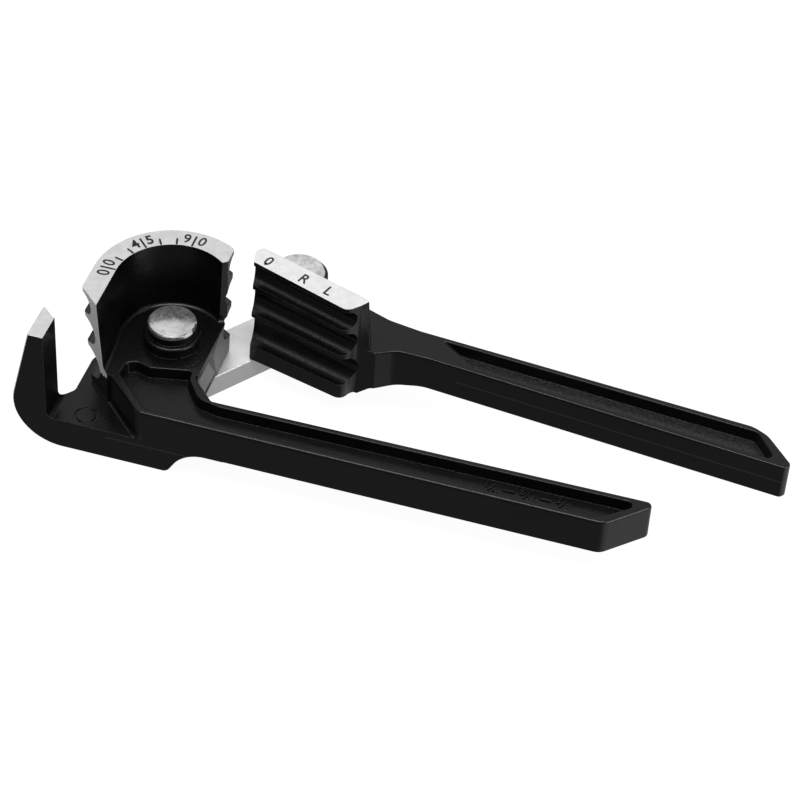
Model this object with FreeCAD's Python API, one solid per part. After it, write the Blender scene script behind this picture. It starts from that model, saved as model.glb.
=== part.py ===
"""Manual tube bender for three tube sizes: two cast handles joined by a pinned link.

Millimetres. Z is up, the tool lies flat on its foot and link at Z = 0, and the origin is on the
pivot axis of the bending form. Handle 1, cast in one with the form and the hook, points along +X.
"""
import FreeCAD
import Part
import math
import os

V = FreeCAD.Vector

# ---------------------------------------------------------------- driving dimensions
TUBE_DIAMETERS = (6.35, 7.94, 9.525)    # 1/4, 5/16 and 3/8 inch tube, top groove to bottom groove
LAND = 1.2                              # flat land above, between and below the grooves
CAST_HEIGHT = 32.0                      # height of the form and of the shoe
LINK_THICK = 6.35
WASHER_THICK = 0.5
AXIAL_PLAY = 0.05                       # play under each casting and under each pin head
RADIAL_PLAY = 0.05                      # play between each pin and its casting

CAST_BASE = LINK_THICK + WASHER_THICK + AXIAL_PLAY
TOP = CAST_BASE + CAST_HEIGHT           # machined top of the form and of the shoe

# bending form
FORM_R_TOP = 21.2                       # outer radius of the form at its top
FORM_TAPER = 0.0906                     # radius lost per millimetre below the top
FORM_BORE_R_TOP = 15.3                  # hollow inside the form, at the top and at its floor
FORM_BORE_R_FLOOR = 14.5
FORM_BORE_LEAN_TOP = 0.007              # how fast the hollow's left wall turns inwards, at the top
FORM_BORE_LEAN_FLOOR = 0.09             # and at the floor, per millimetre towards the front
FORM_END_X = 11.0                       # flat right end of the form
FORM_TAIL_Y = -9.2                      # where the straight left end stops and its bevel starts
FORM_BEVEL_END = (-11.5, -18.27)        # near end of that bevel, where the arm begins
FLOOR_Z = TOP - 19.8                    # floor inside the form, level with the top of handle 1

# handle 1, arm and hook
NEAR_Y = -29.2                          # near face of handle 1, arm and hook
HANDLE_1_FAR_Y = -18.7                  # far face of handle 1 beside the form, and at its tip
HANDLE_1_TIP_Y = -17.6
HANDLE_1_BASE = TOP - 30.8
POCKET_DEPTH = 3.2
RIM = 1.8                               # width of the rims beside both pockets
RIM_ROUNDING = 0.4                      # inner edge of each pocket's rim
HANDLE_1_ROUNDING = 0.9                 # top edges of handle 1 and of its root
HANDLE_1_BASE_ROUNDING = 0.8            # lower edges of handle 1
HANDLE_2_ROUNDING = 0.6                 # top edges of handle 2
ARM_ROUNDING = 0.6                      # near edges of the hook and the arm
ARM_FLOOR_Z = TOP - 29.4
HOOK_TOP = TOP - 2.0
HOOK_INNER_X = -24.3
FOOT_FAR_Y = -8.6                       # far side of the foot, which clears the link
# wall at handle 1's root, above the arm's floor: corners (x, y) or (x, y, rounding radius)
ROOT_WALL = ((-11.0, -17.0), (-10.4, -18.4), (-0.2, -28.4, 1.5), (1.4, NEAR_Y, 2.0))
WALL_FOOT_R = 1.0                       # concave rounding where that wall meets the arm's floor
EJECTOR_R = 3.1                         # ring that a mould's ejector leaves in a cast floor
EJECTOR_WIDTH = 0.6
EJECTOR_DEPTH = 0.35

# pins
SHANK_R = 4.0
PIN_NECK_R = 3.2                        # where each pin is riveted through the link
FORM_HEAD_R = 6.45
SHOE_HEAD_R = 7.0
HEAD_THICK = 1.35
HEAD_CHAMFER = 0.35
FORM_HEAD_TOP = TOP - 13.2
FORM_LEDGE_Z = TOP - 16.7               # lower step of the boss under that head
SHOE_HEAD_TOP = TOP - 15.3
HEAD_PROUD = HEAD_THICK + AXIAL_PLAY    # how far the top of each head stands above its boss

# shoe and handle 2
LINK_LENGTH = 41.04                     # between the two pin axes
LINK_ANGLE = 53.55                      # degrees from +X
LINK_WIDTH = 14.0
FACE_ANGLE = -18.73                     # direction of the shoe's grooved face, degrees from +X
HANDLE_2_TOP = TOP - 16.0
HANDLE_2_BASE = TOP - 26.3
SHOE_BOSS_R = 7.8
RISE_ANGLE = -41.5                      # direction in which the underside rises from the shoe


# ---------------------------------------------------------------- helpers
def unit(angle_degrees):
    """Unit vector in plan at an angle from +X."""
    angle = math.radians(angle_degrees)
    return V(math.cos(angle), math.sin(angle), 0)


SHOE_PIVOT = unit(LINK_ANGLE) * LINK_LENGTH
ALONG = unit(FACE_ANGLE)                # along the shoe's face, towards handle 2
AWAY = unit(FACE_ANGLE + 90)            # square to the face, away from the form
ACROSS_LINK = unit(LINK_ANGLE + 90)


def on_shoe(along, away, z=0.0):
    """Point given along the shoe's face and away from the form's axis."""
    return ALONG * along + AWAY * away + V(0, 0, z)


def outline(corners, place=lambda x, y: V(x, y, 0)):
    """Closed wire through corners (x, y) or (x, y, radius), each with its rounding radius."""
    points = [place(corner[0], corner[1]) for corner in corners]
    radii = [corner[2] if len(corner) > 2 else 0.0 for corner in corners]
    starts = []
    ends = []
    middles = []
    for i, point in enumerate(points):
        to_last = (points[i - 1] - point).normalize()
        to_next = (points[(i + 1) % len(points)] - point).normalize()
        half = to_last.getAngle(to_next) / 2
        reach = radii[i] / math.tan(half)
        bisector = (to_last + to_next).normalize() if radii[i] else V(0, 0, 0)
        starts.append(point + to_last * reach)
        ends.append(point + to_next * reach)
        middles.append(point + bisector * (radii[i] / math.sin(half) - radii[i]))
    edges = []
    for i in range(len(points)):
        if radii[i]:
            edges.append(Part.Arc(starts[i], middles[i], ends[i]).toShape())
        follow = starts[(i + 1) % len(points)]
        if (follow - ends[i]).Length > 1e-6:
            edges.append(Part.LineSegment(ends[i], follow).toShape())
    return Part.Wire(edges)


def slab(wire, low, high):
    """Solid between two heights over a plan outline."""
    face = Part.Face(wire)
    face.translate(V(0, 0, low))
    return face.extrude(V(0, 0, high - low))


def lofted(low_wire, low, high_wire, high):
    """Solid with straight sloping sides between two outlines of the same make-up."""
    low_wire.translate(V(0, 0, low))
    high_wire.translate(V(0, 0, high))
    return Part.makeLoft([low_wire, high_wire], True, True)


def side_profile(corners, y_low, y_high):
    """Solid between two Y values over an outline in X and Z."""
    face = Part.Face(outline(corners, lambda x, z: V(x, y_low, z)))
    return face.extrude(V(0, y_high - y_low, 0))


def cylinder(radius, low, high, centre=V(0, 0, 0)):
    return Part.makeCylinder(radius, high - low, V(centre.x, centre.y, low))


def fused(solids):
    return solids[0].fuse(solids[1:]).removeSplitter()


def rounded_edges(solid, radius, wanted):
    """Round the edges for which wanted(edge) is true."""
    edges = [edge for edge in solid.Edges if wanted(edge)]
    return solid.makeFillet(radius, edges)


def is_upright(edge):
    box = edge.BoundBox
    return box.ZLength > 4 * max(box.XLength, box.YLength)


def is_level_at(edge, z):
    box = edge.BoundBox
    return abs(box.ZMin - z) < 1e-3 and abs(box.ZMax - z) < 1e-3


def is_on_near_face(edge):
    box = edge.BoundBox
    return abs(box.YMin - NEAR_Y) < 1e-3 and abs(box.YMax - NEAR_Y) < 1e-3


def with_pocket(casting, pocket, rim_z):
    """Cut a pocket and round the edge between it and the top around it."""
    hollowed = casting.cut(pocket)

    def is_rim(edge):
        middle = Part.Vertex(edge.valueAt((edge.FirstParameter + edge.LastParameter) / 2))
        return is_level_at(edge, rim_z) and pocket.distToShape(middle)[0] < 1e-3

    return rounded_edges(hollowed, RIM_ROUNDING, is_rim)


def groove_levels():
    """Height of each groove's centre line and its radius."""
    levels = []
    z = TOP
    for diameter in TUBE_DIAMETERS:
        z -= LAND + diameter / 2
        levels.append((z, diameter / 2))
        z -= diameter / 2
    return levels


def form_radius(z):
    return FORM_R_TOP - FORM_TAPER * (TOP - z)


# ---------------------------------------------------------------- form, arm, hook and handle 1
def form_outline(radius):
    """Round from the flat right end to the left side, then straight, then a bevelled end."""
    end = V(FORM_END_X, math.sqrt(radius ** 2 - FORM_END_X ** 2), 0)
    tangent = V(-radius, 0, 0)
    bevel_end = V(FORM_BEVEL_END[0], FORM_BEVEL_END[1], 0)
    slope = (FORM_BEVEL_END[1] - FORM_TAIL_Y) / (FORM_BEVEL_END[0] + FORM_R_TOP)
    bevel_start = V(-radius, FORM_TAIL_Y + slope * (FORM_R_TOP - radius), 0)
    corner = V(FORM_END_X, FORM_BEVEL_END[1], 0)
    arc = Part.Arc(end, unit(120) * radius, tangent).toShape()
    path = [tangent, bevel_start, bevel_end, corner, end]
    lines = [Part.LineSegment(a, b).toShape() for a, b in zip(path, path[1:])]
    return Part.Wire([arc] + lines)


def hollow_outline(radius, lean):
    """The hollow inside the form: round at the back, open to the right and to the front."""
    lip = unit(50.5) * radius
    start = V(-radius, 0, 0)
    arc = Part.Arc(start, unit(110) * radius, lip).toShape()
    step = V(FORM_END_X, lip.y + 1.0, 0)
    path = [lip, step, V(40, step.y, 0), V(40, -40, 0), V(40 * lean - radius, -40, 0), start]
    lines = [Part.LineSegment(a, b).toShape() for a, b in zip(path, path[1:])]
    return Part.Wire([arc] + lines)


def form_drum():
    """Tapered drum with the three tube grooves round it and the hollow inside it."""
    drum = lofted(form_outline(form_radius(CAST_BASE)), CAST_BASE, form_outline(FORM_R_TOP), TOP)

    def is_outer_corner(edge):
        box = edge.BoundBox
        at_right_end = box.XMin > FORM_END_X - 1 and box.YMin > 10
        at_bevel = box.YMax < FORM_TAIL_Y + 0.5 and box.YMax > FORM_TAIL_Y - 4
        return is_upright(edge) and (at_right_end or at_bevel)

    drum = rounded_edges(drum, 1.2, is_outer_corner)
    beside_straight = slab(outline([(-60, 0), (0, 0), (0, -60), (-60, -60)]), 0, 60)
    for z, radius in groove_levels():
        centre = form_radius(z)
        ring = Part.makeTorus(centre, radius, V(0, 0, z)).cut(beside_straight)
        straight = Part.makeCylinder(radius, 40, V(-centre, 0, z), V(0, -1, 0))
        drum = drum.cut([ring, straight])
    hollow = lofted(hollow_outline(FORM_BORE_R_FLOOR, FORM_BORE_LEAN_FLOOR), FLOOR_Z,
                    hollow_outline(FORM_BORE_R_TOP, FORM_BORE_LEAN_TOP), TOP)
    floor_edges = [edge for edge in hollow.Edges if is_level_at(edge, FLOOR_Z)
                   and edge.BoundBox.XMax < FORM_END_X + 1]
    hollow = hollow.makeFillet(1.2, floor_edges)
    return drum.cut(hollow)


def pocket_1():
    """Pocket in the top: wide beside the form, then between the two rims of the handle."""
    top = outline([
        (-8.2, -12.2, 1.4), (-5.8, -11.1, 1.6), (-1.8, -12.2, 2.0), (8.8, -9.8, 0.8), (9.4, -13.2, 3.0),
        (13.8, -19.2, 5.0), (20.0, HANDLE_1_FAR_Y - RIM, 6.0), (131.6, HANDLE_1_TIP_Y - RIM, 1.3),
        (121.9, NEAR_Y + RIM, 3.0), (2.2, NEAR_Y + RIM, 2.0), (-8.6, -16.8, 2.0),
    ])
    floor = outline([
        (-7.8, -12.6, 1.2), (-5.8, -11.6, 1.4), (-1.8, -12.7, 1.8), (8.3, -10.3, 0.6), (8.9, -13.4, 3.0),
        (13.5, -19.6, 5.0), (20.0, HANDLE_1_FAR_Y - RIM - 0.4, 6.0),
        (130.4, HANDLE_1_TIP_Y - RIM - 0.4, 1.1), (121.6, NEAR_Y + RIM + 0.4, 2.8),
        (2.4, NEAR_Y + RIM + 0.4, 1.8), (-8.2, -16.6, 1.8),
    ])
    return lofted(floor, FLOOR_Z - POCKET_DEPTH, top, FLOOR_Z)


def handle_1():
    """Handle bar with its slanted end, and the raised root that joins it to the form."""
    bar = slab(outline([
        (3.0, NEAR_Y), (123.8, NEAR_Y, 4.0), (136.0, HANDLE_1_TIP_Y, 1.4), (20.0, HANDLE_1_FAR_Y),
        (3.0, HANDLE_1_FAR_Y),
    ]), HANDLE_1_BASE, FLOOR_Z)
    bar = rounded_edges(bar, HANDLE_1_BASE_ROUNDING,
                        lambda edge: is_level_at(edge, HANDLE_1_BASE) and edge.BoundBox.XMax > 10)
    root = slab(outline([(-11.0, -8.0)] + list(ROOT_WALL) + [
        (9.0, NEAR_Y), (9.0, -19.0), (20.0, -19.0), (17.3, HANDLE_1_FAR_Y, 2.0), (FORM_END_X, -12.0, 5.0),
        (FORM_END_X, -8.0),
    ]), CAST_BASE, FLOOR_Z)
    both = fused([bar, root])
    return rounded_edges(both, HANDLE_1_ROUNDING, lambda edge: is_level_at(edge, FLOOR_Z)
                         and edge.BoundBox.YMax < -8.1 and edge.BoundBox.YMin < -10.1)


def root_wall_foot():
    """Concave rounding between the root's slanting wall and the arm's floor."""
    strips = []
    for start, end in zip(ROOT_WALL, ROOT_WALL[1:]):
        start = V(start[0], start[1], 0)
        end = V(end[0], end[1], 0)
        ahead = (end - start).normalize()
        outward = V(ahead.y, -ahead.x, 0)
        strip = slab(Part.makePolygon([
            start - outward, end - outward, end + outward * WALL_FOOT_R, start + outward * WALL_FOOT_R,
            start - outward,
        ]), ARM_FLOOR_Z - 1, ARM_FLOOR_Z + WALL_FOOT_R)
        axis_start = start + outward * WALL_FOOT_R - ahead + V(0, 0, ARM_FLOOR_Z + WALL_FOOT_R)
        hollow = Part.makeCylinder(WALL_FOOT_R, (end - start).Length + 2, axis_start, ahead)
        strips.append(strip.cut(hollow))
    in_reach = slab(outline([(-25, 0), (10, 0), (10, NEAR_Y), (-25, NEAR_Y)]), 0, TOP)
    return [strip.common(in_reach) for strip in strips]


def hook_and_foot():
    """Side shape of the hook, the arm and the foot, trimmed to its plan."""
    side = side_profile([
        (HOOK_INNER_X, HOOK_TOP), (-28.5, HOOK_TOP), (-36.9, 0.0, 13.2), (8.6, 0.0, 2.2),
        (13.4, HANDLE_1_BASE, 10.0), (24.0, HANDLE_1_BASE), (24.0, ARM_FLOOR_Z),
        (HOOK_INNER_X, ARM_FLOOR_Z, 2.0),
    ], NEAR_Y, 0.0)
    plan = slab(outline([
        (-45, NEAR_Y), (-45, -17.8), (-27.9, -17.8, 1.0), (HOOK_INNER_X, -21.2, 1.0), (-21.0, -17.0, 2.0),
        (-21.0, FOOT_FAR_Y), (8.0, FOOT_FAR_Y, 4.0), (10.0, -16.0), (24.0, -19.5), (24.0, NEAR_Y),
    ]), -1, TOP)
    arm = side.common(plan)

    def is_outer(edge):
        box = edge.BoundBox
        is_inside_hook = box.ZMin > ARM_FLOOR_Z - 0.1 and box.XMin > HOOK_INNER_X - 0.1
        is_facet = is_level_at(edge, HOOK_TOP)
        return is_on_near_face(edge) and box.XMax < 23.9 and not is_inside_hook and not is_facet

    return rounded_edges(arm, ARM_ROUNDING, is_outer)


def arm_plate():
    """Thin plate that carries the arm on under the form."""
    return slab(outline([
        (-21.0, -20.0), (-21.0, -3.5, 3.0), (-17.0, 0.0), (0.0, 0.0), (0.0, -27.0), (-21.0, -27.0),
    ]), CAST_BASE, ARM_FLOOR_Z)


def form_boss():
    """Raised boss of two steps; the upper one carries the pin's head."""
    seat = cylinder(FORM_HEAD_R - 0.15, FLOOR_Z - 1, FORM_HEAD_TOP - HEAD_PROUD)
    ledge = cylinder(7.7, FLOOR_Z - 1, FORM_LEDGE_Z)
    ledge = rounded_edges(ledge, 0.7, lambda edge: is_level_at(edge, FORM_LEDGE_Z))
    return seat.fuse(ledge)


def pin_bore(centre):
    return cylinder(SHANK_R + RADIAL_PLAY, -1, TOP, centre)


def ejector_mark(x, y, z):
    """Ring that a mould's ejector leaves in a cast floor."""
    centre = V(x, y, 0)
    ring = cylinder(EJECTOR_R, z - EJECTOR_DEPTH, z + EJECTOR_DEPTH, centre)
    return ring.cut(cylinder(EJECTOR_R - EJECTOR_WIDTH, z - 1, z + 1, centre))


def form_handle():
    casting = fused([form_drum(), form_boss(), arm_plate(), hook_and_foot(), handle_1()] + root_wall_foot())
    casting = with_pocket(casting, pocket_1(), FLOOR_Z)
    marks = [ejector_mark(-14.9, -25.1, ARM_FLOOR_Z), ejector_mark(7.0, -6.0, FLOOR_Z)]
    return casting.cut([pin_bore(V(0, 0, 0))] + marks)


# ---------------------------------------------------------------- shoe and handle 2
FACE_TOP = ((11.7, 19.7), (42.2, 19.1))         # ends of the face at the top: along, away
FACE_BASE = ((12.3, 17.4), (41.2, 19.3))        # ends of the face at the bottom
# concave bend of the right end, at the top and at the bottom: reach past the face's end, away, radius
END_BEND = ((1.7, 22.7, 1.0), (0.4, 24.2, 3.0))


def face_corner(end, z):
    """End of the grooved face at a height, along the face and away from the form's axis."""
    share = (TOP - z) / CAST_HEIGHT
    along = FACE_TOP[end][0] + (FACE_BASE[end][0] - FACE_TOP[end][0]) * share
    away = FACE_TOP[end][1] + (FACE_BASE[end][1] - FACE_TOP[end][1]) * share
    return along, away


def shoe_section(z, far_right):
    """Level section of the shoe's block, with its far right corner at the given place."""
    left = face_corner(0, z)
    right = face_corner(1, z)
    share = (TOP - z) / CAST_HEIGHT
    reach, away, radius = (top + (base - top) * share for top, base in zip(*END_BEND))
    corners = [left + (0.5,), right + (2.4,), (right[0] + reach, away, radius), far_right + (0.6,),
               (9.8, 25.9, 1.6), (9.6, 23.4, 1.0)]
    return outline(corners, on_shoe)


def shoe_block():
    """Upright block with the grooved face; the face leans towards the form at its bottom."""
    upper = lofted(shoe_section(HANDLE_2_TOP, (48.2, 25.9)), HANDLE_2_TOP,
                   shoe_section(TOP, (44.8, 25.9)), TOP)
    lower = lofted(shoe_section(CAST_BASE, (48.2, 25.9)), CAST_BASE,
                   shoe_section(HANDLE_2_TOP, (48.2, 25.9)), HANDLE_2_TOP)
    return [upper, lower]


def shoe_grooves():
    grooves = []
    for z, radius in groove_levels():
        left = on_shoe(*face_corner(0, z), z)
        right = on_shoe(*face_corner(1, z), z)
        direction = (right - left).normalize()
        length = (right - left).Length
        grooves.append(Part.makeCylinder(radius, length + 20, left - direction * 10, direction))
    return grooves


def shoe_plate():
    """Low plate between the block, the pivot boss and the neck of handle 2."""
    plan = outline([
        (17.2, 20.5), (16.9, 30.0), (24.0, 34.0), (31.6, 31.6, 2.0), (46.7, 25.0, 4.0), (53.0, 22.6, 8.0),
        (62.0, 21.1), (62.0, 11.3), (58.0, 11.0, 6.0), (53.2, 8.4), (48.0, 9.0),
    ])
    plate = slab(plan, CAST_BASE, HANDLE_2_TOP)
    boss = cylinder(SHOE_BOSS_R, CAST_BASE, HANDLE_2_TOP, SHOE_PIVOT)
    low_top = slab(outline([(10, 18), (42, 18), (42, 50), (10, 50)]), SHOE_HEAD_TOP - HEAD_PROUD, TOP)
    return [plate, boss], low_top


def handle_2_outline():
    return outline([
        (44.0, 26.2), (46.7, 25.0, 4.0), (53.0, 22.6, 8.0), (62.0, 21.1, 10.0), (153.0, 14.0, 7.0),
        (157.2, 11.9, 7.0), (165.0, 3.0, 1.5), (163.4, 1.2, 1.3), (67.0, 11.0, 20.0), (58.0, 11.2, 6.0),
        (53.2, 8.4), (46.0, 10.0),
    ])


def pocket_2():
    """Pocket in the top of handle 2, with a sloping end towards the shoe."""
    top = outline([
        (67.9, 19.2, 0.3), (154.3, 12.1, 2.5), (161.0, 3.3, 1.2), (79.0, 11.5, 3.0),
    ])
    floor = outline([
        (73.0, 18.4, 0.3), (154.0, 11.7, 2.3), (159.9, 3.9, 1.1), (84.0, 11.5, 3.0),
    ])
    return lofted(floor, HANDLE_2_TOP - POCKET_DEPTH, top, HANDLE_2_TOP)


def underside_wedge():
    """Metal removed under handle 2: its underside rises from the bottom of the shoe."""
    profile = [
        (29.0, CAST_BASE - 1.5), (33.4, TOP - 28.7, 3.0), (41.5, HANDLE_2_BASE, 8.0),
        (200.0, HANDLE_2_BASE), (200.0, CAST_BASE - 1.5),
    ]
    rise = unit(RISE_ANGLE)
    across = unit(RISE_ANGLE + 90)
    face = Part.Face(outline(profile, lambda reach, z: rise * reach - across * 100 + V(0, 0, z)))
    return face.extrude(across * 300)


def shoe_handle():
    plates, low_top = shoe_plate()
    low = fused(plates).cut(low_top)
    bar = slab(handle_2_outline(), CAST_BASE, HANDLE_2_TOP)
    casting = fused(shoe_block() + [low, bar]).cut(underside_wedge())
    casting = rounded_edges(casting, HANDLE_2_ROUNDING,
                            lambda edge: is_level_at(edge, HANDLE_2_TOP) and edge.BoundBox.XMax > 62)
    casting = with_pocket(casting, pocket_2(), HANDLE_2_TOP)
    casting = casting.cut(shoe_grooves())
    return casting.cut(pin_bore(SHOE_PIVOT))


# ---------------------------------------------------------------- link, pins and washers
def countersink(centre, extra=0.0):
    return Part.makeCone(PIN_NECK_R + 1.2 + extra, PIN_NECK_R + extra, 1.2, V(centre.x, centre.y, 0))


def link_bar():
    """Flat bar with round ends, drilled and countersunk underneath for the two pins."""
    side = ACROSS_LINK * (LINK_WIDTH / 2)
    bar = slab(Part.makePolygon([side, SHOE_PIVOT + side, SHOE_PIVOT - side, V(0, 0, 0) - side, side]),
               0, LINK_THICK)
    ends = [cylinder(LINK_WIDTH / 2, 0, LINK_THICK, centre) for centre in (V(0, 0, 0), SHOE_PIVOT)]
    link = fused([bar] + ends)
    link = rounded_edges(link, 0.3, lambda edge: is_level_at(edge, LINK_THICK) or is_level_at(edge, 0))
    for centre in (V(0, 0, 0), SHOE_PIVOT):
        link = link.cut([cylinder(PIN_NECK_R, -1, LINK_THICK + 1, centre), countersink(centre)])
    return link


def pivot_pin(centre, head_radius, head_top):
    """Headed pin: chamfered head, running shank, neck riveted into the link's countersink."""
    head = cylinder(head_radius, head_top - HEAD_THICK, head_top, centre)
    head = head.makeChamfer(HEAD_CHAMFER, [edge for edge in head.Edges if is_level_at(edge, head_top)])
    shank = cylinder(SHANK_R, LINK_THICK, head_top - HEAD_THICK + 0.1, centre)
    neck = cylinder(PIN_NECK_R, 0, LINK_THICK + 0.1, centre)
    return fused([head, shank, neck, countersink(centre)])


def spacer_washer(centre):
    outer = cylinder(8.0, LINK_THICK, LINK_THICK + WASHER_THICK, centre)
    return outer.cut(cylinder(SHANK_R, 0, TOP, centre))


def main():
    os.makedirs("parts", exist_ok=True)
    origin = V(0, 0, 0)
    nodes = {
        "form_handle": form_handle(),
        "shoe_handle": shoe_handle(),
        "link_bar": link_bar(),
        "form_pivot_pin": pivot_pin(origin, FORM_HEAD_R, FORM_HEAD_TOP),
        "shoe_pivot_pin": pivot_pin(SHOE_PIVOT, SHOE_HEAD_R, SHOE_HEAD_TOP),
        "form_spacer_washer": spacer_washer(origin),
        "shoe_spacer_washer": spacer_washer(SHOE_PIVOT),
    }
    for name, shape in nodes.items():
        box = shape.BoundBox
        print(name, "valid", shape.isValid(), "solids", len(shape.Solids), "volume %.1f" % shape.Volume,
              "x %.2f..%.2f y %.2f..%.2f z %.2f..%.2f" % (box.XMin, box.XMax, box.YMin, box.YMax,
                                                           box.ZMin, box.ZMax))
        shape.exportStep("parts/%s.step" % name)


main()
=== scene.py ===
"""Looks of the manual tube bender: paint, bare metal, cast and stamped marks, studio light, camera."""

import math

import bmesh
import bpy
from mathutils import Matrix, Vector


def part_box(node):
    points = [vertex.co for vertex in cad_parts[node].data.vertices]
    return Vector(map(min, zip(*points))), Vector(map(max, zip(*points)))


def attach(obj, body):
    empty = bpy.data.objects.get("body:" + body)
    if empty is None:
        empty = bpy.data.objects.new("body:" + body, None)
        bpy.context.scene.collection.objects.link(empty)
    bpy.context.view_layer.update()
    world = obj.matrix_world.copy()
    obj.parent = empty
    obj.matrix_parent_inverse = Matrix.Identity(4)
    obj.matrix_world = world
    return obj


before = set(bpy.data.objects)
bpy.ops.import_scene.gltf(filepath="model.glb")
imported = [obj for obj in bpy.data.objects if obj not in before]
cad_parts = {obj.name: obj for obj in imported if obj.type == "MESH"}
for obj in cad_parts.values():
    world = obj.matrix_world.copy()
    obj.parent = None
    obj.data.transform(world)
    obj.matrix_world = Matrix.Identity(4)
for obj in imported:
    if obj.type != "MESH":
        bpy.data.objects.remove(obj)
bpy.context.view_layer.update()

MM = 0.001

# ---------------------------------------------------------------- places on the CAD nodes
TOP_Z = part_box("form_handle")[1].z      # machined top of the form and of the shoe
HOOK_TOP_Z = TOP_Z - 2.0 * MM
FORM_FLOOR_Z = TOP_Z - 19.8 * MM        # floor inside the form
POCKET_FLOOR_Z = TOP_Z - 23.0 * MM      # floor of handle 1's pocket
POCKET_2_FLOOR_Z = TOP_Z - 19.2 * MM    # floor of handle 2's pocket
PARTING_1_Z = TOP_Z - 31.5 * MM         # parting line on the arm's near face
PARTING_2_Z = TOP_Z - 21.2 * MM         # and on handle 2's near face
FORM_END_X = 11.0 * MM                  # flat right end of the form
FACE_ANGLE = math.radians(-18.73)       # direction of the shoe's strip in plan
BEVEL_ANGLE = math.radians(-137.0)      # direction in which the form's left bevel looks
FACE_MARGIN = 0.1 * MM                  # how far from its place a flat face still counts
PARTING_1_X = (-8.0 * MM, 15.0 * MM)    # the first line shows between these
PARTING_2_X = 75.0 * MM                 # and the second one to the right of this
PARTING_HALF_WIDTH = 0.22 * MM
UP = (0.0, 0.0, 1.0)
TO_FRONT = (0.0, -1.0, 0.0)
TO_RIGHT = (1.0, 0.0, 0.0)

# bare metal on the form's right end, with a large facet under the wall and a small one in front of it
WALL_END_Y = 12.0 * MM                  # the wall's own end is bare behind this
LARGE_FACET_TOP_Z = TOP_Z - 20.7 * MM
LARGE_FACET_SHOULDER_Y = 5.3 * MM       # its top edge falls away in front of this
LARGE_FACET_FALL = 0.64                 # by this much for each step forwards
LARGE_FACET_LEFT_Y = 6.1 * MM           # where its left edge would reach Z = 0
LARGE_FACET_LEAN = 0.32                 # how far that edge leans forwards with height
SMALL_FACET_Z = (8.6 * MM, 16.6 * MM)
SMALL_FACET_SLANT = 1.52                # fall of its right edge for each step backwards
SMALL_FACET_REACH_Z = 12.3 * MM         # height of that edge at Y = 0
RAGGED_EDGE = 1.2 * MM                  # how far the edges of the bare facets wander

# bare metal on the form's left bevel
BEVEL_BARE_X = -10.5 * MM               # the metal is bare to the left of this
BEVEL_FOOT_Z = TOP_Z - 17.5 * MM        # where the metal gives way to paint, at X = 0
BEVEL_FOOT_SLOPE = 0.4                  # rise of that edge with X
BEVEL_RAGGED = 1.5 * MM                 # how far that edge wanders

# marks
SCALE_R = 18.2 * MM                     # radius of the middle of the scale's ring
SCALE_INNER_R = 15.4 * MM               # where its ticks begin
TICK_WIDTH = 0.52 * MM
LONG_TICK = 4.3 * MM                    # at 0, 45 and 90 degrees
SHORT_TICK = 2.5 * MM
DIGIT_HEIGHT = 3.5 * MM
DIGIT_BESIDE = 2.1 * MM                 # from a long tick to the middle of each digit beside it
THIN_STROKE = 0.05 * MM                 # thickening of the figures' strokes
THICK_STROKE = 0.10 * MM
MARK_HEIGHT = 0.06 * MM                 # thickness of the filled marks
MARK_SINK = 0.01 * MM                   # how deep they lie in the metal
LETTER_WIDTH = 0.88                     # letters are narrower than the font's own
CAPITAL_SHARE = 0.73                    # height of the font's capitals, as a share of its size
STRIP_MARKS = (("0", 14.6), ("R", 26.1), ("L", 33.9))    # letter, millimetres along the shoe's face
STRIP_MARKS_AWAY = 22.4 * MM            # from the form's axis, across the shoe's face
INDEX_AWAY = 21.0 * MM                  # small index tick at the shoe's zero
INDEX_LENGTH = 1.0 * MM
INDEX_WIDTH = 0.4 * MM
LEGEND_Y = -22.8 * MM                   # middle line of the cast letters
LEGEND_SIZES = (("1", "4", 93.4), ("5", "16", 102.7), ("3", "8", 112.1))    # and millimetres along X
LEGEND_HEIGHT = 2.3 * MM
LEGEND_STROKE = 0.04 * MM
LEGEND_UPPER = (-1.3, 0.9)              # upper and lower figure beside the slash, in millimetres
LEGEND_LOWER = (1.2, -0.9)
SLASH_LENGTH = 3.0 * MM
SLASH_WIDTH = 0.35 * MM
SLASH_ANGLE = math.radians(65.0)
DASHES_X = (98.0, 107.6)                # millimetres
DASH_LENGTH = 3.2 * MM
DASH_WIDTH = 0.5 * MM
LETTER_DEPTH = 0.45 * MM                # thickness of the cast letters
LETTER_SINK = 0.02 * MM                 # how deep they reach into the pocket's floor

# ---------------------------------------------------------------- tones
PAINT_DARK = (0.0016, 0.0018, 0.0019)
PAINT_LIGHT = (0.0038, 0.0042, 0.0040)
PAINT_SPECK = (0.045, 0.045, 0.045)
# Pale edge colour: a painted highlight for light glancing off the paint's rounded edges.
PAINT_EDGE_HIGHLIGHT = (0.22, 0.22, 0.22)
# Lighter grey for flecks on level cast floors: a painted sheen of light caught by rough casting.
PAINT_FLOOR_SHEEN = (0.030, 0.031, 0.030)
PAINT_PARTING = (0.035, 0.035, 0.035)
FORM_METAL = (0.62, 0.62, 0.62)
SHOE_METAL = (0.76, 0.76, 0.76)
RIGHT_END_METAL = (0.24, 0.24, 0.24)
BEVEL_METAL = (0.85, 0.85, 0.85)
ZINC_DARK = (0.78, 0.78, 0.775)
ZINC_LIGHT = (0.86, 0.86, 0.855)
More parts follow.
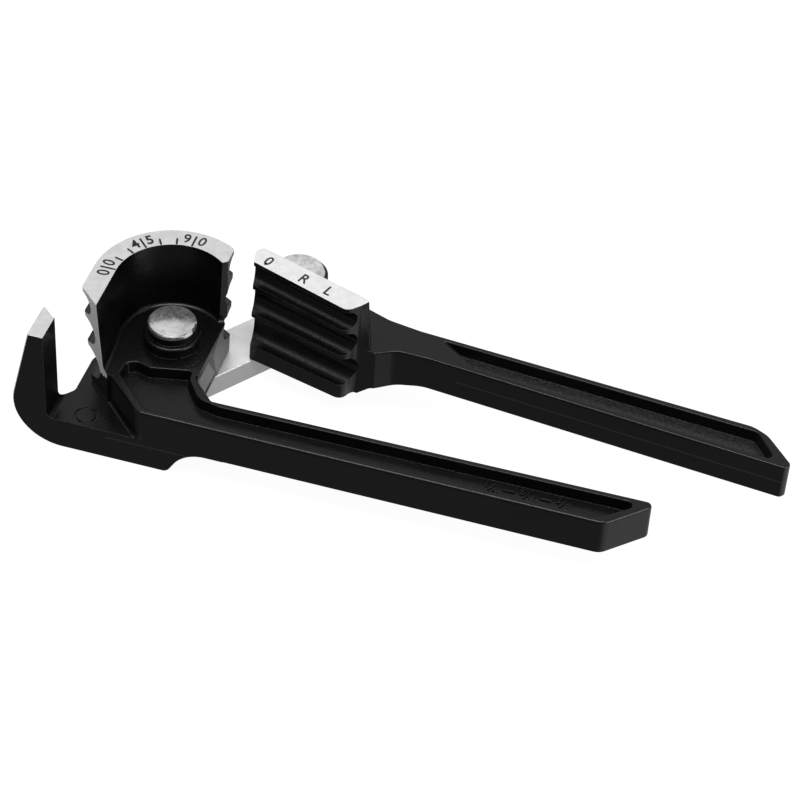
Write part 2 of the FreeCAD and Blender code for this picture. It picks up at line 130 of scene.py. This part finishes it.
# Darker tone for the bar's sides: painted shade, as from the shoe above them.
ZINC_SIDE_SHADE = (0.36, 0.36, 0.358)
PIN_DARK = (0.50, 0.50, 0.505)
PIN_LIGHT = (0.80, 0.80, 0.795)
WASHER_DARK = (0.30, 0.30, 0.30)
WASHER_LIGHT = (0.50, 0.50, 0.49)
METAL_DARKEST = 0.86                    # darkest part of bare metal's mottle, as a share of its tone
MARK_DARK = (0.012, 0.012, 0.012)
MARK_THIN = (0.10, 0.10, 0.10)
FLOOR_DARK = (0.07, 0.07, 0.07)
FLOOR_LIGHT = (0.08, 0.08, 0.08)
WALL_DARK = (0.97, 0.97, 0.97)
WALL_LIGHT = (0.98, 0.98, 0.98)

# ---------------------------------------------------------------- studio and camera values
BELOW_FRONT = 0.32                      # brightness below the horizon, in front
BELOW_RIGHT = 1.0                       # to the right
BELOW_BACK_LEFT = 0.35                  # behind and to the left
BELOW_BACK = 0.02                       # behind
ABOVE_FRONT_LOW = 0.18                  # brightness above the horizon in front, low down
ABOVE_FRONT_HIGH = 1.7                  # near the zenith
ABOVE_BACK = 0.85                       # behind
FLOOR_HALF = 3.0                        # metres
FLOOR_DROP = 0.05 * MM                  # gap under the tool
FLOOR_GLOW = 0.955
WALL_R = 2.9                            # backdrop, metres
WALL_HEIGHT = 3.0
WALL_SIDES = 48
LIGHT_TARGET = (0.06, 0.0, 0.02)        # metres
CAMERA_PLACE = (190.12, -518.87, 513.0)     # millimetres
CAMERA_HEADING = 13.80                  # degrees
CAMERA_DOWN = 42.895
CAMERA_ROLL = 3.70
CAMERA_LENS = 126.16                    # millimetres
CAMERA_SENSOR = 36.0
FILM_GAMMA = 0.85


# ---------------------------------------------------------------- node helpers
class Nodes:
    """Short calls for building a material's node tree."""

    def __init__(self, name):
        self.material = bpy.data.materials.new(name)
        self.material.use_nodes = True
        self.tree = self.material.node_tree
        self.tree.nodes.clear()
        self.output = self.add("ShaderNodeOutputMaterial")
        self.place = self.add("ShaderNodeTexCoord").outputs["Object"]
        self.geometry = self.add("ShaderNodeNewGeometry")

    def add(self, kind, settings=None, **inputs):
        """New node with its settings and with its inputs by name."""
        node = self.tree.nodes.new(kind)
        for key, value in (settings or {}).items():
            setattr(node, key, value)
        for key, value in inputs.items():
            self.feed(node.inputs[key.replace("_", " ")], value)
        return node

    def feed(self, socket, value):
        """Link a socket, or give an input its fixed value."""
        if isinstance(value, bpy.types.NodeSocket):
            self.tree.links.new(value, socket)
        elif isinstance(value, tuple) and len(value) == 3 and socket.type == "RGBA":
            socket.default_value = value + (1.0,)
        else:
            socket.default_value = value

    def math(self, operation, a, b=0.0):
        node = self.add("ShaderNodeMath", {"operation": operation})
        self.feed(node.inputs[0], a)
        self.feed(node.inputs[1], b)
        return node.outputs[0]

    def both(self, *masks):
        """White where every mask is white."""
        result = masks[0]
        for mask in masks[1:]:
            result = self.math("MULTIPLY", result, mask)
        return result

    def either(self, *masks):
        """White where any mask is white."""
        result = masks[0]
        for mask in masks[1:]:
            result = self.math("MAXIMUM", result, mask)
        return result

    def weighted(self, share, a, b):
        """Mean of two values, with the given share of the first."""
        return self.math("ADD", self.math("MULTIPLY", a, share), self.math("MULTIPLY", b, 1.0 - share))

    def noise(self, scale_mm, detail=3.0, roughness=0.5, stretch=None, distortion=0.0):
        """Noise whose features are about scale_mm across; stretch lengthens them along an axis."""
        place = self.place
        if stretch:
            mapping = self.add("ShaderNodeMapping", Vector=place)
            mapping.inputs["Scale"].default_value = stretch
            place = mapping.outputs[0]
        node = self.add("ShaderNodeTexNoise", Vector=place, Scale=1.0 / (scale_mm * MM), Detail=detail,
                        Roughness=roughness, Distortion=distortion)
        return node.outputs["Fac"]

    def ramp(self, value, low, high, from_value=0.0, to_value=1.0):
        """Smooth step of value from low to high, mapped to from_value and to_value."""
        node = self.add("ShaderNodeMapRange", {"interpolation_type": "SMOOTHSTEP"}, Value=value)
        node.inputs["From Min"].default_value = low
        node.inputs["From Max"].default_value = high
        node.inputs["To Min"].default_value = from_value
        node.inputs["To Max"].default_value = to_value
        return node.outputs[0]

    def mix(self, share, a, b):
        """Colour between a, where share is 0, and b, where it is 1."""
        node = self.add("ShaderNodeMix", {"data_type": "RGBA"})
        self.feed(node.inputs["Factor"], share)
        self.feed(node.inputs["A"], a)
        self.feed(node.inputs["B"], b)
        return node.outputs["Result"]

    def bump(self, height, distance_mm, strength=1.0, normal=None):
        """Normal of a surface with relief distance_mm high, on top of another normal."""
        node = self.add("ShaderNodeBump", Height=height, Strength=strength, Distance=distance_mm * MM)
        if normal:
            self.feed(node.inputs["Normal"], normal)
        return node.outputs[0]

    def soft_edges(self, radius_mm):
        """Normal that rounds every edge of the mesh by a small radius."""
        return self.add("ShaderNodeBevel", {"samples": 6}, Radius=radius_mm * MM).outputs[0]

    def edge_mask(self, radius_mm, low, high):
        """White near sharp edges, where the rounded normal leaves the true one."""
        rounded = self.soft_edges(radius_mm)
        dot = self.add("ShaderNodeVectorMath", {"operation": "DOT_PRODUCT"})
        self.feed(dot.inputs[0], rounded)
        self.feed(dot.inputs[1], self.geometry.outputs["Normal"])
        return self.ramp(self.math("SUBTRACT", 1.0, dot.outputs["Value"]), low, high)

    def over(self, mask, below, above):
        """Shader that shows one surface where the mask is white and another elsewhere."""
        mixed = self.add("ShaderNodeMixShader", Fac=mask)
        self.feed(mixed.inputs[1], below)
        self.feed(mixed.inputs[2], above)
        return mixed.outputs[0]

    def principled(self, **inputs):
        shader = self.add("ShaderNodeBsdfPrincipled")
        for key, value in inputs.items():
            self.feed(shader.inputs[key.replace("_", " ")], value)
        return shader.outputs[0]

    def finish(self, surface):
        self.tree.links.new(surface, self.output.inputs["Surface"])
        return self.material

    def coordinate(self, axis):
        split = self.add("ShaderNodeSeparateXYZ")
        self.feed(split.inputs[0], self.place)
        return split.outputs[axis]

    def facing(self, direction, least):
        """White where the true surface looks along direction, in the object's own axes."""
        to_object = self.add("ShaderNodeVectorTransform", {
            "vector_type": "NORMAL", "convert_from": "WORLD", "convert_to": "OBJECT"})
        self.feed(to_object.inputs[0], self.geometry.outputs["True Normal"])
        dot = self.add("ShaderNodeVectorMath", {"operation": "DOT_PRODUCT"})
        self.feed(dot.inputs[0], to_object.outputs[0])
        dot.inputs[1].default_value = direction
        return self.math("GREATER_THAN", dot.outputs["Value"], least)


# ---------------------------------------------------------------- materials
def black_paint(nodes, floor_sheen=0.0, parting=0.0):
    """Satin black paint over a cast surface: orange-peel grain, dust specks, and thin pale edges that
    are a painted highlight.

    floor_sheen marks level cast floors that get lighter grey flecks, a painted sheen of light caught by
    rough casting, and parting marks the mould's parting line.
    """
    grain = nodes.noise(0.5, detail=4.0, roughness=0.65)
    peel = nodes.noise(1.6, detail=2.0)
    patches = nodes.noise(14.0, detail=4.0)
    speck = nodes.ramp(nodes.noise(0.22, detail=1.0), 0.70, 0.78)
    colour = nodes.mix(patches, PAINT_DARK, PAINT_LIGHT)
    colour = nodes.mix(nodes.math("MULTIPLY", speck, 0.35), colour, PAINT_SPECK)
    # Painted highlight: broken pale lines along sharp edges stand in for light glancing off rounded
    # paint.
    edge_highlight = nodes.both(nodes.edge_mask(0.22, 0.10, 0.35),
                      nodes.ramp(nodes.noise(2.5, detail=4.0), 0.36, 0.58))
    colour = nodes.mix(nodes.math("MULTIPLY", edge_highlight, 0.5), colour, PAINT_EDGE_HIGHLIGHT)
    # Painted sheen: where floor_sheen is white, lighter grey flecks stand in for light caught by the
    # rough cast floor.
    sheen_flecks = nodes.ramp(nodes.noise(0.9, detail=4.0, roughness=0.7), 0.35, 0.65, 0.3, 1.0)
    colour = nodes.mix(nodes.math("MULTIPLY", floor_sheen, sheen_flecks), colour, PAINT_FLOOR_SHEEN)
    colour = nodes.mix(nodes.math("MULTIPLY", parting, 0.7), colour, PAINT_PARTING)
    roughness = nodes.ramp(nodes.weighted(0.5, grain, patches), 0.3, 0.7, 0.22, 0.38)
    normal = nodes.bump(nodes.weighted(0.45, grain, peel), 0.09, 0.7, nodes.soft_edges(0.2))
    return nodes.principled(Base_Color=colour, Roughness=roughness, Normal=normal,
                            Specular_IOR_Level=0.30, Coat_Weight=0.25, Coat_Roughness=0.12,
                            Coat_Normal=normal)


def bare_metal(nodes, tone, lay, rough):
    """Machined bare metal with fine cutter marks along one direction and a light mottle."""
    marks = nodes.noise(0.5, detail=3.0, stretch=lay)
    mottle = nodes.noise(2.2, detail=4.0, roughness=0.65)
    light = nodes.weighted(0.35, marks, mottle)
    dark = tuple(channel * METAL_DARKEST for channel in tone)
    colour = nodes.mix(nodes.ramp(light, 0.3, 0.7), dark, tone)
    normal = nodes.bump(marks, 0.02, 0.35, nodes.soft_edges(0.12))
    return nodes.principled(Base_Color=colour, Metallic=0.55, Roughness=rough, Normal=normal)


def between(nodes, value, low, high):
    """White where a value lies between two limits."""
    return nodes.both(nodes.math("GREATER_THAN", value, low), nodes.math("LESS_THAN", value, high))


def level_at(nodes, z, height):
    """White on level faces at a height."""
    return nodes.both(nodes.facing(UP, 0.9),
                      between(nodes, z, height - FACE_MARGIN, height + FACE_MARGIN))


def level_above(nodes, z, height):
    """White on level faces at a height and above it."""
    return nodes.both(nodes.facing(UP, 0.9), nodes.math("GREATER_THAN", z, height - 2 * FACE_MARGIN))


def line_at(nodes, value, place, half_width):
    """White within half_width of a value, fading at both sides."""
    distance = nodes.math("ABSOLUTE", nodes.math("SUBTRACT", value, place))
    return nodes.ramp(distance, 0.4 * half_width, half_width, 1.0, 0.0)


def bare_right_end(nodes, y, z):
    """The form's right end: a milled facet under the wall and a smaller one under the floor's front."""
    ragged = nodes.math("SUBTRACT", nodes.noise(1.2, detail=3.0), 0.5)
    wobble = nodes.math("MULTIPLY", ragged, RAGGED_EDGE)
    across = nodes.math("ADD", y, wobble)
    in_front = nodes.math("MAXIMUM", nodes.math("SUBTRACT", LARGE_FACET_SHOULDER_Y, across), 0.0)
    fall = nodes.math("MULTIPLY", in_front, LARGE_FACET_FALL)
    top_edge = nodes.math("ADD", nodes.math("ADD", z, fall), wobble)
    left_edge = nodes.math("ADD", across, nodes.math("MULTIPLY", z, LARGE_FACET_LEAN))
    large = nodes.both(nodes.math("GREATER_THAN", left_edge, LARGE_FACET_LEFT_Y),
                       nodes.math("LESS_THAN", top_edge, LARGE_FACET_TOP_Z))
    wall_end = nodes.math("GREATER_THAN", y, WALL_END_Y)
    slant = nodes.math("ADD", z, nodes.math("MULTIPLY", across, SMALL_FACET_SLANT))
    small = nodes.both(nodes.math("LESS_THAN", slant, SMALL_FACET_REACH_Z),
                       between(nodes, z, *SMALL_FACET_Z))
    return nodes.either(large, wall_end, small)


def bare_bevel(nodes, x, z):
    """The form's left bevel, down to a ragged edge where the paint begins."""
    bevel_way = (math.cos(BEVEL_ANGLE), math.sin(BEVEL_ANGLE), 0.0)
    ragged = nodes.math("MULTIPLY", nodes.noise(1.5, detail=3.0), BEVEL_RAGGED)
    sloping = nodes.math("SUBTRACT", z, nodes.math("MULTIPLY", x, BEVEL_FOOT_SLOPE))
    foot = nodes.math("SUBTRACT", sloping, ragged)
    return nodes.both(nodes.facing(bevel_way, 0.97), nodes.math("LESS_THAN", x, BEVEL_BARE_X),
                      nodes.math("GREATER_THAN", foot, BEVEL_FOOT_Z))


def form_casting():
    """Paint with bare metal on the form's top, left bevel and right end, and painted glints of lighter
    flecks on its floor.
    """
    nodes = Nodes("form_casting_paint")
    x, y, z = (nodes.coordinate(axis) for axis in ("X", "Y", "Z"))
    parting = nodes.both(nodes.facing(TO_FRONT, 0.9),
                         line_at(nodes, z, PARTING_1_Z, PARTING_HALF_WIDTH),
                         between(nodes, x, *PARTING_1_X))
    # Painted glints: lighter flecks on the form's floor stand in for light sparkling on rough casting.
    glint_flecks = nodes.ramp(nodes.noise(0.8, detail=4.0, roughness=0.7), 0.54, 0.68, 0.0, 0.35)
    floor_glints = nodes.both(level_at(nodes, z, FORM_FLOOR_Z), glint_flecks,
                              nodes.math("LESS_THAN", x, FORM_END_X))
    right_end = nodes.both(nodes.facing(TO_RIGHT, 0.95),
                           between(nodes, x, FORM_END_X - FACE_MARGIN, FORM_END_X + FACE_MARGIN),
                           bare_right_end(nodes, y, z))
    surface = black_paint(nodes, floor_glints, parting)
    surface = nodes.over(right_end, surface, bare_metal(nodes, RIGHT_END_METAL, (6.0, 6.0, 1.0), 0.5))
    surface = nodes.over(bare_bevel(nodes, x, z), surface,
                         bare_metal(nodes, BEVEL_METAL, (6.0, 6.0, 1.0), 0.55))
    surface = nodes.over(level_above(nodes, z, HOOK_TOP_Z), surface,
                         bare_metal(nodes, FORM_METAL, (1.0, 12.0, 1.0), 0.5))
    return nodes.finish(surface)


def shoe_casting():
    """Paint with bare metal on the shoe's top strip and a painted sheen of lighter flecks on the floor
    of its handle's pocket.
    """
    nodes = Nodes("shoe_casting_paint")
    x, z = (nodes.coordinate(axis) for axis in ("X", "Z"))
    parting = nodes.both(nodes.facing(TO_FRONT, 0.9),
                         line_at(nodes, z, PARTING_2_Z, PARTING_HALF_WIDTH),
                         nodes.math("GREATER_THAN", x, PARTING_2_X))
    # The pocket's level floor gets the painted sheen of lighter flecks.
    paint = black_paint(nodes, level_at(nodes, z, POCKET_2_FLOOR_Z), parting)
    milled = bare_metal(nodes, SHOE_METAL, (3.0, 9.0, 1.0), 0.5)
    return nodes.finish(nodes.over(level_above(nodes, z, TOP_Z), paint, milled))


def zinc_plate():
    """Bright zinc plating on flat steel bar, with drawn lines, soft clouds and sides painted darker as
    shade.
    """
    nodes = Nodes("zinc_link")
    lines = nodes.noise(0.35, detail=3.0, stretch=(1.0, 1.0, 6.0))
    clouds = nodes.noise(4.5, detail=4.0, roughness=0.6)
    flat = nodes.mix(nodes.ramp(clouds, 0.3, 0.7), ZINC_DARK, ZINC_LIGHT)
    # Painted shade: faces that don't look up take the darker side tone.
    colour = nodes.mix(nodes.facing(UP, 0.5), ZINC_SIDE_SHADE, flat)
    roughness = nodes.ramp(lines, 0.3, 0.7, 0.34, 0.46)
    normal = nodes.bump(lines, 0.02, 0.4, nodes.soft_edges(0.25))
    return nodes.finish(nodes.principled(Base_Color=colour, Metallic=0.6, Roughness=roughness,
                                         Normal=normal))


def pin_steel():
    """Turned and tumbled steel with a mottled, nearly polished surface."""
    nodes = Nodes("steel_pins")
    mottle = nodes.noise(1.5, detail=5.0, roughness=0.7, distortion=0.4)
    clouds = nodes.noise(5.5, detail=2.0)
    light = nodes.weighted(0.6, mottle, clouds)
    colour = nodes.mix(nodes.ramp(light, 0.35, 0.62), PIN_DARK, PIN_LIGHT)
    roughness = nodes.ramp(mottle, 0.3, 0.7, 0.08, 0.20)
    normal = nodes.bump(mottle, 0.02, 0.25, nodes.soft_edges(0.06))
    return nodes.finish(nodes.principled(Base_Color=colour, Metallic=0.88, Roughness=roughness,
                                         Normal=normal))


def washer_steel():
    """Dull stamped steel."""
    nodes = Nodes("steel_washers")
    mottle = nodes.noise(1.2, detail=4.0, roughness=0.6)
    colour = nodes.mix(nodes.ramp(mottle, 0.3, 0.7), WASHER_DARK, WASHER_LIGHT)
    normal = nodes.bump(mottle, 0.03, 0.4)
    return nodes.finish(nodes.principled(Base_Color=colour, Metallic=0.9, Roughness=0.4, Normal=normal))


def mark_fill():
    """Black paint left in the stamped marks; thin spots let the metal show through."""
    nodes = Nodes("mark_paint")
    thin = nodes.ramp(nodes.noise(0.5, detail=4.0, roughness=0.6), 0.55, 0.75)
    colour = nodes.mix(nodes.math("MULTIPLY", thin, 0.5), MARK_DARK, MARK_THIN)
    normal = nodes.bump(thin, 0.02, 0.5)
    return nodes.finish(nodes.principled(Base_Color=colour, Roughness=0.6, Normal=normal))


def cast_letters():
    """The castings' black paint, without their masks."""
    nodes = Nodes("letter_paint")
    return nodes.finish(black_paint(nodes))


def dress(node, material):
    """Give a CAD node its material."""
    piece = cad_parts[node]
    piece.data.materials.clear()
    piece.data.materials.append(material)
    for polygon in piece.data.polygons:
        polygon.material_index = 0


def dress_cad_nodes():
    """Give every CAD node its material."""
    dress("form_handle", form_casting())
    dress("shoe_handle", shoe_casting())
    dress("link_bar", zinc_plate())
    pins = pin_steel()
    washers = washer_steel()
    for node in ("form_pivot_pin", "shoe_pivot_pin"):
        dress(node, pins)
    for node in ("form_spacer_washer", "shoe_spacer_washer"):
        dress(node, washers)


# ---------------------------------------------------------------- marks
def text_mesh(name, text, height, depth, place, stroke=0.0):
    """Text as a closed mesh: capital height, depth, and the matrix of its centre."""
    curve = bpy.data.curves.new(name, "FONT")
    curve.body = text
    curve.align_x = "CENTER"
    curve.align_y = "CENTER"
    curve.size = height / CAPITAL_SHARE
    curve.extrude = depth / 2
    curve.offset = stroke
    curve.resolution_u = 4
    holder = bpy.data.objects.new(name, curve)
    bpy.context.scene.collection.objects.link(holder)
    bpy.context.view_layer.update()
    mesh = bpy.data.meshes.new_from_object(holder)
    bpy.data.objects.remove(holder)
    low = min(vertex.co.y for vertex in mesh.vertices)
    high = max(vertex.co.y for vertex in mesh.vertices)
    narrow = Matrix.Diagonal((LETTER_WIDTH, 1.0, 1.0, 1.0))
    mesh.transform(place @ narrow @ Matrix.Translation((0.0, -(low + high) / 2, 0.0)))
    return mesh


def bar_mesh(length, width, depth, place):
    """Small bar with rounded ends, lying along X about its centre."""
    half = width / 2
    steps = 6
    rim = []
    for side in (1, -1):
        for i in range(steps + 1):
            angle = math.pi * (i / steps - 0.5)
            reach = length / 2 - half + half * math.cos(angle)
            rim.append((side * reach, side * half * math.sin(angle)))
    count = len(rim)
    corners = [(x, y, -depth / 2) for x, y in rim] + [(x, y, depth / 2) for x, y in rim]
    faces = [tuple(reversed(range(count))), tuple(range(count, 2 * count))]
    faces += [(i, (i + 1) % count, (i + 1) % count + count, i + count) for i in range(count)]
    mesh = bpy.data.meshes.new("bar")
    mesh.from_pydata(corners, [], faces)
    mesh.transform(place)
    return mesh


def one_piece(name, meshes, material, body):
    """Join meshes into one piece that rides on a body."""
    joined = bmesh.new()
    for mesh in meshes:
        joined.from_mesh(mesh)
        bpy.data.meshes.remove(mesh)
    data = bpy.data.meshes.new(name)
    joined.to_mesh(data)
    joined.free()
    data.materials.append(material)
    piece = bpy.data.objects.new(name, data)
    bpy.context.scene.collection.objects.link(piece)
    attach(piece, body)


def on_ring(degrees, radius, turn=-90.0, z=0.0):
    """Matrix at an angle round the form's axis, with +Y of the mark pointing outwards."""
    angle = math.radians(degrees)
    place = Vector((radius * math.cos(angle), radius * math.sin(angle), z))
    return Matrix.Translation(place) @ Matrix.Rotation(angle + math.radians(turn), 4, "Z")


def angle_scale(material):
    """Scale on the form's top: a tick every 15 degrees, and 0, 45 and 90 beside long ticks."""
    z = TOP_Z + MARK_HEIGHT / 2 - MARK_SINK
    meshes = []
    for bend in range(0, 105, 15):
        degrees = 180.0 - bend
        is_long = bend % 45 == 0
        length = LONG_TICK if is_long else SHORT_TICK
        middle = SCALE_INNER_R + length / 2
        meshes.append(bar_mesh(length, TICK_WIDTH, MARK_HEIGHT, on_ring(degrees, middle, 0.0, z)))
    beside = math.degrees(DIGIT_BESIDE / SCALE_R)
    for bend, digits in ((0, "00"), (45, "45"), (90, "90")):
        for digit, side in zip(digits, (1, -1)):
            place = on_ring(180.0 - bend + side * beside, SCALE_R, z=z)
            stroke = THICK_STROKE if bend == 45 else THIN_STROKE
            meshes.append(text_mesh("digit", digit, DIGIT_HEIGHT, MARK_HEIGHT, place, stroke=stroke))
    one_piece("angle_scale", meshes, material, "form_handle")


def on_strip(along, away, z):
    """Matrix on the shoe's top strip, along the face and away from the form."""
    turn = Matrix.Rotation(FACE_ANGLE, 4, "Z")
    return turn @ Matrix.Translation((along, away, z))


def shoe_marks(material):
    """Zero with its index tick, and the letters R and L, on the shoe's top strip."""
    z = TOP_Z + MARK_HEIGHT / 2 - MARK_SINK
    meshes = []
    for letter, along in STRIP_MARKS:
        place = on_strip(along * MM, STRIP_MARKS_AWAY, z)
        meshes.append(text_mesh("letter", letter, DIGIT_HEIGHT, MARK_HEIGHT, place, stroke=THIN_STROKE))
    zero_along = STRIP_MARKS[0][1] * MM
    tick = on_strip(zero_along, INDEX_AWAY, z) @ Matrix.Rotation(math.pi / 2, 4, "Z")
    meshes.append(bar_mesh(INDEX_LENGTH, INDEX_WIDTH, MARK_HEIGHT, tick))
    one_piece("shoe_marks", meshes, material, "shoe_handle")


def size_legend(material):
    """Raised tube sizes in the floor of handle 1's pocket: three stacked fractions and two dashes."""
    z = POCKET_FLOOR_Z + LETTER_DEPTH / 2 - LETTER_SINK
    meshes = []

    def place(x, y):
        return Matrix.Translation((x * MM, LEGEND_Y + y * MM, z))

    for upper, lower, x in LEGEND_SIZES:
        for text, (aside, up) in ((upper, LEGEND_UPPER), (lower, LEGEND_LOWER)):
            meshes.append(text_mesh("size", text, LEGEND_HEIGHT, LETTER_DEPTH, place(x + aside, up),
                                    stroke=LEGEND_STROKE))
        slash = place(x, 0.0) @ Matrix.Rotation(SLASH_ANGLE, 4, "Z")
        meshes.append(bar_mesh(SLASH_LENGTH, SLASH_WIDTH, LETTER_DEPTH, slash))
    for x in DASHES_X:
        meshes.append(bar_mesh(DASH_LENGTH, DASH_WIDTH, LETTER_DEPTH, place(x, 0.0)))
    one_piece("size_legend", meshes, material, "form_handle")


# ---------------------------------------------------------------- studio
def pale_floor():
    """Faintly glowing floor that stays almost white and doesn't show in reflections."""
    nodes = Nodes("studio_floor")
    tone = nodes.mix(nodes.noise(60.0, detail=2.0), FLOOR_DARK, FLOOR_LIGHT)
    material = nodes.finish(nodes.principled(Base_Color=tone, Roughness=1.0, Specular_IOR_Level=0.0,
                                             Emission_Color=(1.0, 1.0, 1.0),
                                             Emission_Strength=FLOOR_GLOW))
    corners = [(x * FLOOR_HALF, y * FLOOR_HALF, 0) for x, y in ((-1, -1), (1, -1), (1, 1), (-1, 1))]
    mesh = bpy.data.meshes.new("studio_floor")
    mesh.from_pydata(corners, [], [(0, 1, 2, 3)])
    mesh.materials.append(material)
    floor = bpy.data.objects.new("studio_floor", mesh)
    floor.location.z = -FLOOR_DROP
    floor.visible_glossy = False
    bpy.context.scene.collection.objects.link(floor)


def pale_backdrop():
    """Pale wall far round the tool, seen by the camera alone, so that it adds no light."""
    nodes = Nodes("studio_backdrop")
    tone = nodes.mix(nodes.noise(400.0, detail=1.0), WALL_DARK, WALL_LIGHT)
    material = nodes.finish(nodes.add("ShaderNodeEmission", Color=tone, Strength=1.0).outputs[0])
    angles = [math.tau * i / WALL_SIDES for i in range(WALL_SIDES)]
    ring = [(WALL_R * math.cos(angle), WALL_R * math.sin(angle)) for angle in angles]
    corners = [(x, y, 0.0) for x, y in ring] + [(x, y, WALL_HEIGHT) for x, y in ring]
    faces = [(i, (i + 1) % WALL_SIDES, (i + 1) % WALL_SIDES + WALL_SIDES, i + WALL_SIDES)
             for i in range(WALL_SIDES)]
    mesh = bpy.data.meshes.new("studio_backdrop")
    mesh.from_pydata(corners, [], faces)
    mesh.materials.append(material)
    wall = bpy.data.objects.new("studio_backdrop", mesh)
    wall.visible_diffuse = False
    wall.visible_glossy = False
    wall.visible_shadow = False
    bpy.context.scene.collection.objects.link(wall)


def soft_box(name, place, size, power):
    """Rectangular soft light that looks at the tool."""
    data = bpy.data.lights.new(name, "AREA")
    data.shape = "RECTANGLE"
    data.size, data.size_y = size
    data.energy = power
    light = bpy.data.objects.new(name, data)
    light.location = place
    light.rotation_euler = (Vector(LIGHT_TARGET) - Vector(place)).to_track_quat("-Z", "Y").to_euler()
    bpy.context.scene.collection.objects.link(light)


class WorldNodes:
    """Short calls for grading the surroundings by direction."""

    def __init__(self):
        self.world = bpy.data.worlds.new("studio")
        self.world.use_nodes = True
        self.tree = self.world.node_tree
        coordinates = self.tree.nodes.new("ShaderNodeTexCoord")
        self.direction = self.tree.nodes.new("ShaderNodeSeparateXYZ")
        self.tree.links.new(coordinates.outputs["Generated"], self.direction.inputs[0])

    def graded(self, axis, low, high, from_value=0.0, to_value=1.0):
        """Value that changes evenly while the direction's axis goes from low to high."""
        node = self.tree.nodes.new("ShaderNodeMapRange")
        self.tree.links.new(self.direction.outputs[axis], node.inputs["Value"])
        limits = (("From Min", low), ("From Max", high), ("To Min", from_value), ("To Max", to_value))
        for key, number in limits:
            node.inputs[key].default_value = number
        return node.outputs[0]

    def combined(self, operation, first, second):
        """Result of arithmetic on two sockets."""
        node = self.tree.nodes.new("ShaderNodeMath")
        node.operation = operation
        self.tree.links.new(first, node.inputs[0])
        self.tree.links.new(second, node.inputs[1])
        return node.outputs[0]

    def mixed(self, share, first, second):
        """First value where share is 0 and second one, a socket or a number, where it is 1."""
        node = self.tree.nodes.new("ShaderNodeMix")
        self.tree.links.new(share, node.inputs["Factor"])
        self.tree.links.new(first, node.inputs["A"])
        if isinstance(second, float):
            node.inputs["B"].default_value = second
        else:
            self.tree.links.new(second, node.inputs["B"])
        return node.outputs["Result"]

    def finish(self, strength):
        """Make this the scene's world."""
        background = self.tree.nodes["Background"]
        background.inputs["Color"].default_value = (1.0, 1.0, 1.0, 1.0)
        self.tree.links.new(strength, background.inputs["Strength"])
        bpy.context.scene.world = self.world


def studio_world():
    """White surroundings whose brightness depends on direction, as panels round a table give."""
    nodes = WorldNodes()
    below_right = nodes.graded("X", 0.2, 0.6, 0.0, BELOW_RIGHT)
    below_front = nodes.graded("Y", -0.6, 0.1, BELOW_FRONT, BELOW_BACK)
    to_left = nodes.graded("X", 0.1, -0.1)
    to_back = nodes.graded("Y", 0.3, 0.6, 0.0, BELOW_BACK_LEFT)
    below = nodes.combined("MAXIMUM", below_right, below_front)
    below = nodes.combined("MAXIMUM", below, nodes.combined("MULTIPLY", to_left, to_back))
    above_front = nodes.graded("Z", 0.66, 0.86, ABOVE_FRONT_LOW, ABOVE_FRONT_HIGH)
    above = nodes.mixed(nodes.graded("Y", -0.25, 0.25), above_front, ABOVE_BACK)
    nodes.finish(nodes.mixed(nodes.graded("Z", -0.1, 0.2), below, above))


def studio_light():
    """Graded surroundings, two soft lights and a plain film curve."""
    studio_world()
    soft_box("right_light", place=(0.85, -0.30, 0.30), size=(0.5, 0.4), power=4.0)
    soft_box("top_light", place=(0.06, -0.25, 1.0), size=(0.9, 0.25), power=6.0)
    film = bpy.context.scene.view_settings
    film.view_transform = "Standard"
    film.look = "None"
    film.gamma = FILM_GAMMA


def camera():
    """Looks down on the tool from its near side, a little over handle 1."""
    data = bpy.data.cameras.new("camera")
    data.sensor_width = CAMERA_SENSOR
    data.lens = CAMERA_LENS
    data.clip_start = 0.01
    viewpoint = bpy.data.objects.new("camera", data)
    heading, down, roll = (math.radians(angle) for angle in (CAMERA_HEADING, CAMERA_DOWN, CAMERA_ROLL))
    turn = (Matrix.Rotation(heading, 4, "Z") @ Matrix.Rotation(math.pi / 2 - down, 4, "X")
            @ Matrix.Rotation(roll, 4, "Z"))
    viewpoint.matrix_world = Matrix.Translation(Vector(CAMERA_PLACE) * MM) @ turn
    bpy.context.scene.collection.objects.link(viewpoint)
    bpy.context.scene.camera = viewpoint


def main():
    camera()
    studio_light()
    pale_floor()
    pale_backdrop()
    dress_cad_nodes()
    marks = mark_fill()
    angle_scale(marks)
    shoe_marks(marks)
    size_legend(cast_letters())


main()
